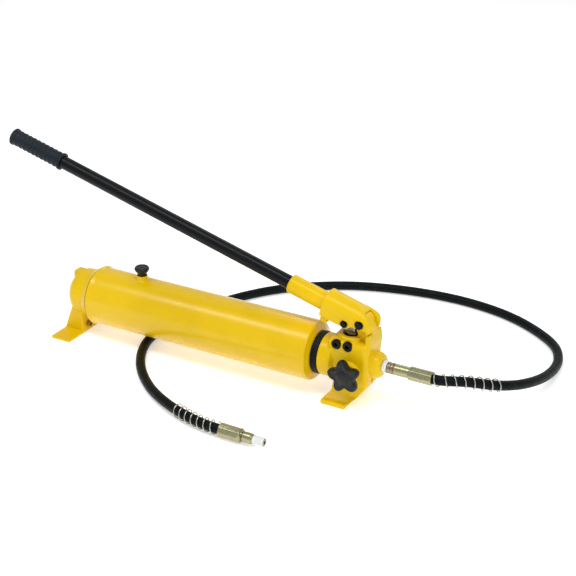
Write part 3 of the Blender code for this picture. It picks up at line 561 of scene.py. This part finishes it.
def cast(name, node, body, voxel, passes, cutters=()):
    """Casting made from a CAD node's shape: fine mesh, rounded edges and fillets, then cuts."""
    source = frame["nodes"][node]
    rough = bpy.data.objects.new(name + "_rough", source.data.copy())
    bpy.context.scene.collection.objects.link(rough)
    remesh = rough.modifiers.new("grid", "REMESH")
    remesh.mode = "VOXEL"
    remesh.voxel_size = voxel * MM
    soften = rough.modifiers.new("soften", "SMOOTH")
    soften.factor = 0.5
    soften.iterations = passes
    for cutter in cutters:
        cut_with(rough, cutter)
    mesh = evaluated(rough)
    for cutter in cutters:
        bpy.data.objects.remove(cutter, do_unlink=True)
    return keep(name, mesh, "body_paint", body, node, sharp=40)


def cut_with(item, tool):
    modifier = item.modifiers.new("cut", "BOOLEAN")
    modifier.operation = "DIFFERENCE"
    modifier.object = tool
    modifier.solver = "EXACT"


def bar(outline, place, steps=64):
    """Loose turned solid, used to cut a casting or as a blank to be cut."""
    mesh = revolved(outline, place, steps)
    tool = bpy.data.objects.new("tool", mesh)
    bpy.context.scene.collection.objects.link(tool)
    return tool


def drill(radius, start, end, place, steps=64):
    return bar([(start, 0), (start, radius), (end, radius), (end, 0)], place, steps)


# ---------------------------------------------------------------- hose

def smooth_route(route, steps):
    """Evenly spaced points on a centripetal Catmull-Rom curve through the route."""
    knots = [Vector(point) for point in route]
    knots = [2 * knots[0] - knots[1], *knots, 2 * knots[-1] - knots[-2]]
    dense = []
    for index in range(1, len(knots) - 2):
        for part in range(24):
            dense.append(catmull(knots[index - 1:index + 3], part / 24))
    dense.append(knots[-2])
    return evenly(dense, steps)


def catmull(four, share):
    times = [0.0]
    for first, second in zip(four, four[1:]):
        times.append(times[-1] + math.sqrt((second - first).length))
    moment = times[1] + (times[2] - times[1]) * share
    layer = list(four)
    for depth in (1, 2, 3):
        merged = []
        for index in range(len(layer) - 1):
            early, late = window(times, index, depth)
            merged.append(layer[index].lerp(layer[index + 1], (moment - early) / (late - early)))
        layer = merged
    return layer[0]


def window(times, index, depth):
    """Knot span that one step of the Catmull-Rom pyramid blends over."""
    spans = {1: (index, index + 1), 2: (index, index + 2), 3: (1, 2)}
    early, late = spans[depth]
    return times[early], times[late]


def evenly(points, steps):
    lengths = [0.0]
    for first, second in zip(points, points[1:]):
        lengths.append(lengths[-1] + (second - first).length)
    spaced = []
    cursor = 0
    for index in range(steps + 1):
        goal = lengths[-1] * index / steps
        while cursor < len(points) - 2 and lengths[cursor + 1] < goal:
            cursor += 1
        span = lengths[cursor + 1] - lengths[cursor]
        spaced.append(points[cursor].lerp(points[cursor + 1], (goal - lengths[cursor]) / span))
    return spaced


def build_hose():
    fine = smooth_route(HOSE_ROUTE, 1600)
    hose = tube_along("hose_cover", smooth_route(HOSE_ROUTE, 420), HOSE_R, "hose_rubber", "frame",
                      "hose", sides=10)
    pump_guard = build_guard("bend_guard_pump_side", fine, GUARD_LENGTHS[0], 9.2, 9.0, 0.0,
                             "hose_guard_pump_side")
    far_guard = build_guard("bend_guard_far_side", list(reversed(fine)), GUARD_LENGTHS[1], 9.3,
                            9.6, 0.9, "hose_guard_far_side")
    ferrule, fitting, tape = build_far_end()


def build_guard(name, path, length, radius, far_radius, lift, *nodes):
    """Open wire helix round the first `length` of the path, sitting `lift` above its centre."""
    step = (path[1] - path[0]).length
    first = 2.0 / step
    last = length / step
    side = Vector((0, 0, 1))
    count = int(GUARD_TURNS * GUARD_STEPS)
    points = []
    for index in range(count + 1):
        place, share = divmod(first + (last - first) * index / count, 1.0)
        place = int(place)
        centre = path[place].lerp(path[place + 1], share) + Vector((0, 0, lift))
        forward = (path[place + 2] - path[place - 1]).normalized()
        side = (side - forward * side.dot(forward)).normalized()
        across = forward.cross(side)
        angle = 2 * math.pi * index / GUARD_STEPS
        reach = radius + (far_radius - radius) * index / count
        points.append(centre + reach * (side * math.cos(angle) + across * math.sin(angle)))
    return tube_along(name, points, GUARD_WIRE_R, "guard_wire", "frame", *nodes, sides=3)


def crimped(name, outline, place, flats, depth, body, node):
    """Ferrule whose crimped length has flats, from (station, radius, crimp share) points."""
    def reach(angle):
        """Radius of the present ring, which the loop below sets, at an angle."""
        local = (angle * flats / (2 * math.pi)) % 1.0 - 0.5
        flat = math.cos(math.pi / flats) / math.cos(local * 2 * math.pi / flats)
        groove = depth * math.exp(-(local / CRIMP_GROOVE) ** 2)
        return radius * (1 + share * (flat - 1)) - share * groove

    points = []
    rings = []
    for station, radius, share in outline:
        rings.append(add_ring(points, station, flats * 12, reach))
    mesh = ring_mesh(name, points, rings, rings[1:] + rings[:1], place)
    return keep(name, mesh, "zinc", body, node, sharp=50)


def build_far_end():
    place = placed("+X", (0, FAR_AXIS_Y, FAR_AXIS_Z))
    start = FAR_HOSE_END_X
    outline = [(start, 7.35, 0), (start, FERRULE_R - 0.9, 0), (start + 0.9, FERRULE_R, 0.2),
               (start + 3, FERRULE_R, 1), (start + 31, FERRULE_R, 1), (start + 33, FERRULE_R, 0.2),
               (start + 34, FERRULE_R - 1, 0), (start + 34.6, 7.6, 0), (start + 36, 7.6, 0),
               (start + 36, 2.6, 0), (start + 30, 2.6, 0), (start + 30, 7.35, 0)]
    ferrule = crimped("far_crimp_sleeve", outline, place, 8, 0.15, "frame", "far_ferrule")
    body = start + 36.3
    tail = [(body, 2.6), (body, 6.6), (body + 1.2, 6.6), (body + 1.8, 7.6), (body + 13.2, 7.6),
            (body + 13.8, 6.4), (body + 15.0, 6.4), (body + 15.6, 7.0), (body + 16.4, 5.6),
            (body + 33, 5.6), (body + 34, 4.6), (body + 34, 2.6)]
    fitting = turned("far_hose_tail", tail, place, "zinc", "frame", "hose_end_fitting", radius=0.4)
    tape = turned("far_thread_tape", taped(body + 16.6, body + 33.6, 6.0), place, "tape", "frame",
                  "hose_end_tape", radius=0.25)
    return ferrule, fitting, tape


def taped(start, end, radius):
    """Outline of tape wound over a thread: small uneven steps where the layers overlap."""
    outline = [(start, radius - 0.1)]
    count = 9
    for index in range(count):
        share = (index + 0.5) / count
        bulge = 0.35 + 0.25 * math.sin(index * 2.4) + 0.2 * math.sin(math.pi * share)
        outline.append((start + (end - start) * share, radius + bulge))
    return outline + [(end, radius - 0.1), (end, radius - 0.4), (start, radius - 0.4)]


# ---------------------------------------------------------------- tank

def build_tank():
    place = placed("+X", (0, 0, AXIS_Z))
    inner = TANK_R - 3.0
    front = TANK_FRONT_X
    rear = TANK_REAR_X
    shell = [(front + 2.6, 30.5), (front + 2.4, 33.0), (front, TANK_R - 5.6),
             (front - 0.6, TANK_R - 2.6), (front - 2.2, TANK_R - 0.8), (front - 4.6, TANK_R),
             (rear + 7, TANK_R), (rear + 4, TANK_R + 0.9), (rear + 2, TANK_R + 1.8),
             (rear + 0.3, TANK_R + 1.7), (rear, inner),
             (front - 5, inner), (front - 5, 27.3), (front + 2.6, 27.3)]
    turned("tank_tube", shell, place, "tank_paint", "frame", "tank_shell", radius=1.2, steps=160)
    ring = [(front + 2.9, SPIGOT_R + 0.3), (front + 2.9, 31.0), (front + 3.9, 31.7),
            (COLLAR_X - 1.6, 31.7), (COLLAR_X - 0.3, 31.0), (COLLAR_X - 0.3, SPIGOT_R + 0.3)]
    turned("tank_seal", ring, place, "soft_rubber", "frame", "tank_seal_ring", radius=0.9,
           steps=128)
    top = AXIS_Z + TANK_R
    upright = placed("+Z", (FILLER_X, 0, 0))
    boss = [(top - 5.5, 5.8), (top - 5.5, 8.0), (top - 1.4, 8.0), (top - 1.2, 11.2),
            (top - 0.1, 10.0), (top + 0.9, 9.2), (top + 5.4, 8.8), (top + 7.0, 8.2),
            (top + 7.0, 5.8)]
    turned("filler_neck", boss, upright, "body_paint", "frame", "filler_boss", radius=1.1)
    foot = top + 8.4
    cap = [(foot - 7.4, 0), (foot - 7.4, 4.2), (foot - 6.4, 5.4), (foot, 5.4), (foot, 7.2),
           (foot + 1.2, 7.0), (foot + 2.6, 7.2), (foot + 5.4, 9.8), (foot + 8.4, 11.4),
           (foot + 10.6, 11.3), (foot + 12.4, 9.8), (foot + 12.5, 8.6), (foot + 11.9, 7.9),
           (foot + 11.9, 3.0), (foot + 12.3, 0)]
    turned("filler_plug_knob", cap, upright, "black_plastic", "filler_plug", "filler_cap",
           radius=0.8)


# ---------------------------------------------------------------- head, valves and lever

def build_head():
    up = placed("+Z", (PISTON_X, 0, 0))
    slot = placed("+X", (0, *FRONT_SLOT)) @ Matrix.Scale(1.7, 4, (1, 0, 0))
    cutters = [drill(13.9, 98, 112, up), drill(5.3, -40, 40, placed("+Y", PIVOT)),
               drill(2.4, 20, 60, slot)]
    for x in PLUG_X.values():
        cutters.append(drill(7.4, 20.1, 40, placed("-Y", (x, 0, PLUG_Z))))
    cast("head_body", "head_casting", "frame", 0.8, 7, cutters)
    for name, x in PLUG_X.items():
        build_plug(name, placed("-Y", (x, 0, PLUG_Z)))


def build_plug(name, side):
    plug = bar(rounded([(20.3, 0), (20.3, 7.0), (26.0, 7.0), (26.0, 0)], 0.9), side)
    socket = drill(3.3, 22.6, 28, side, 6)
    cut_with(plug, socket)
    mesh = evaluated(plug)
    bpy.data.objects.remove(socket, do_unlink=True)
    keep(name + "_screw_plug", mesh, "black_steel", "frame", name + "_plug")


def build_cover():
    cast("rear_end_cover", "rear_cover", "frame", 0.8, 7)


def build_knob():
    """Star knob: bored hub behind, rolled lobes, and a raised centre in front."""
    place = placed("-Y", (RELEASE_X, 0, RELEASE_Z))
    hub = [(47.3, 4.4), (33.6, 4.4), (33.6, 8.9), (34.2, 9.5), (37.3, 9.6), (37.3, 11.0)]
    lobes = []
    for index in range(9):
        angle = math.pi * (index / 8 - 0.5)
        lobes.append((43.2 + 6.2 * math.sin(angle), 1.0 - 0.13 * (1 - math.cos(angle))))
    lobes += [(49.4, 0.80), (49.0, 0.72)]
    centre = [(48.8, 10.6), (49.6, 9.6)]

    def lobe(angle):
        wave = math.cos(KNOB_LOBES * (angle - KNOB_TURN))
        return KNOB_R + KNOB_WAVE * wave - KNOB_DIP * wave * wave

    points = []
    rings = [add_pole(points, 47.3, KNOB_STEPS)]
    for station, radius in hub:
        rings.append(add_ring(points, station, KNOB_STEPS, lambda angle: radius))
    for station, size in lobes:
        rings.append(add_ring(points, station, KNOB_STEPS, lambda angle: size * lobe(angle)))
    for station, radius in centre:
        rings.append(add_ring(points, station, KNOB_STEPS, lambda angle: radius))
    rings.append(add_pole(points, 49.6, KNOB_STEPS))
    mesh = ring_mesh("knob", points, rings, rings[1:], place)
    keep("release_star_knob", mesh, "black_plastic", "release_handwheel", "release_knob", sharp=45)


def build_lever():
    pin = lever_place().inverted() @ (Vector(PISTON_PIN) * MM)
    upright = lever_place() @ Matrix.Translation(pin) @ towards("+Y")
    pivot = lever_place() @ towards("+Y")
    pole = along_pole()
    cutters = [drill(5.2, -40, 40, pivot), drill(4.2, -40, 40, upright),
               drill(10.2, SOCKET_END_U - 6, -46, pole, 96)]
    cast("lever_head", "lever_casting", "lever", 0.7, 8, cutters)
    for name, radius, place, body in (("pivot_pin", 5.0, pivot, "frame"),
                                      ("piston_pin", 4.0, upright, "lever")):
        build_pin(name, radius, place, body)
    turned("pole_tube", [(-627, 8.0), (-627, POLE_R), (-47, POLE_R), (-47, 8.0)], pole,
           "pole_paint", "lever", "handle_pole", radius=0.5, steps=128)
    build_grip(pole)


def build_pin(name, radius, place, body):
    """Pin with chamfered ends and a groove for the retaining ring at each end."""
    half = [(0, radius), (20.0, radius), (20.2, radius * 0.7), (21.8, radius * 0.7),
            (22.0, radius), (22.9, radius), (23.4, radius - 0.8), (23.2, 0)]
    outline = [(-s, r) for s, r in reversed(half[1:])] + half[1:]
    turned(name + "_turned", outline, place, "black_steel", body, name, radius=0.3)


def build_grip(pole):
    """Moulded grip: end flange, ten soft ridges and a wide collar on the pump side."""
    outline = [(GRIP_END_U, 0), (GRIP_END_U, 12.2), (GRIP_END_U + 0.8, 13.3),
               (GRIP_END_U + 3.2, 13.3), (GRIP_END_U + 4.6, 11.9)]
    first = GRIP_END_U + 6.0
    last = GRIP_INNER_U - 7.0
    count = 160
    for index in range(count + 1):
        share = index / count
        wave = 0.5 - 0.5 * math.cos(2 * math.pi * 10 * share)
        outline.append((first + (last - first) * share, 11.35 + 1.15 * wave ** 0.7))
    outline += [(GRIP_INNER_U - 5.4, 11.6), (GRIP_INNER_U - 3.6, 13.5), (GRIP_INNER_U - 0.8, 13.6),
                (GRIP_INNER_U, 12.6), (GRIP_INNER_U, 10.2), (-627.3, 10.2), (-627.3, 0)]
    grip = turned("rubber_grip", outline, pole, "soft_rubber", "lever", "handle_grip", radius=0,
                  steps=128, sharp=60)
    grip.data.materials[0] = MATERIALS["grip_rubber"]


def build_outlet():
    place = placed("+X", (0, 0, OUTLET_Z))
    face = OUTLET_FACE_X
    turned("outlet_thread_tape", taped(face + 0.3, face + 6.9, 8.5), place, "tape", "frame",
           "outlet_tape", radius=0.25)
    collar = [(face + 7.1, 6.3), (face + 7.1, 7.9), (face + 7.8, 8.4), (face + 10.2, 8.4),
              (face + 10.8, 7.6), (face + 12.2, 7.6), (face + 12.8, 8.3), (face + 16.0, 8.3),
              (face + 16.6, 7.8), (face + 16.6, 6.3)]
    turned("outlet_collar", collar, place, "brass", "frame", "swivel_collar", radius=0.4)
    outline = [(face + 16.9, 2.6, 0), (face + 16.9, 7.6, 0), (face + 17.7, 8.2, 0),
               (face + 20, 8.2, 0), (100.4, 8.2, 0), (101.0, 8.2, 0), (101.3, FERRULE_R - 0.9, 0),
               (102.2, FERRULE_R, 0.2), (104, FERRULE_R, 1), (133, FERRULE_R, 1),
               (FERRULE_END_X - 0.9, FERRULE_R, 0.2), (FERRULE_END_X, FERRULE_R - 0.9, 0),
               (FERRULE_END_X, 7.35, 0), (120, 7.35, 0), (120, 2.6, 0)]
    crimped("outlet_crimp_sleeve", outline, place, 8, 0.15, "frame", "hose_ferrule")


MATERIALS = build_materials()
build_camera()
build_studio()
dress_frame()
build_hose()
build_tank()
build_head()
build_cover()
build_knob()
build_lever()
build_outlet()
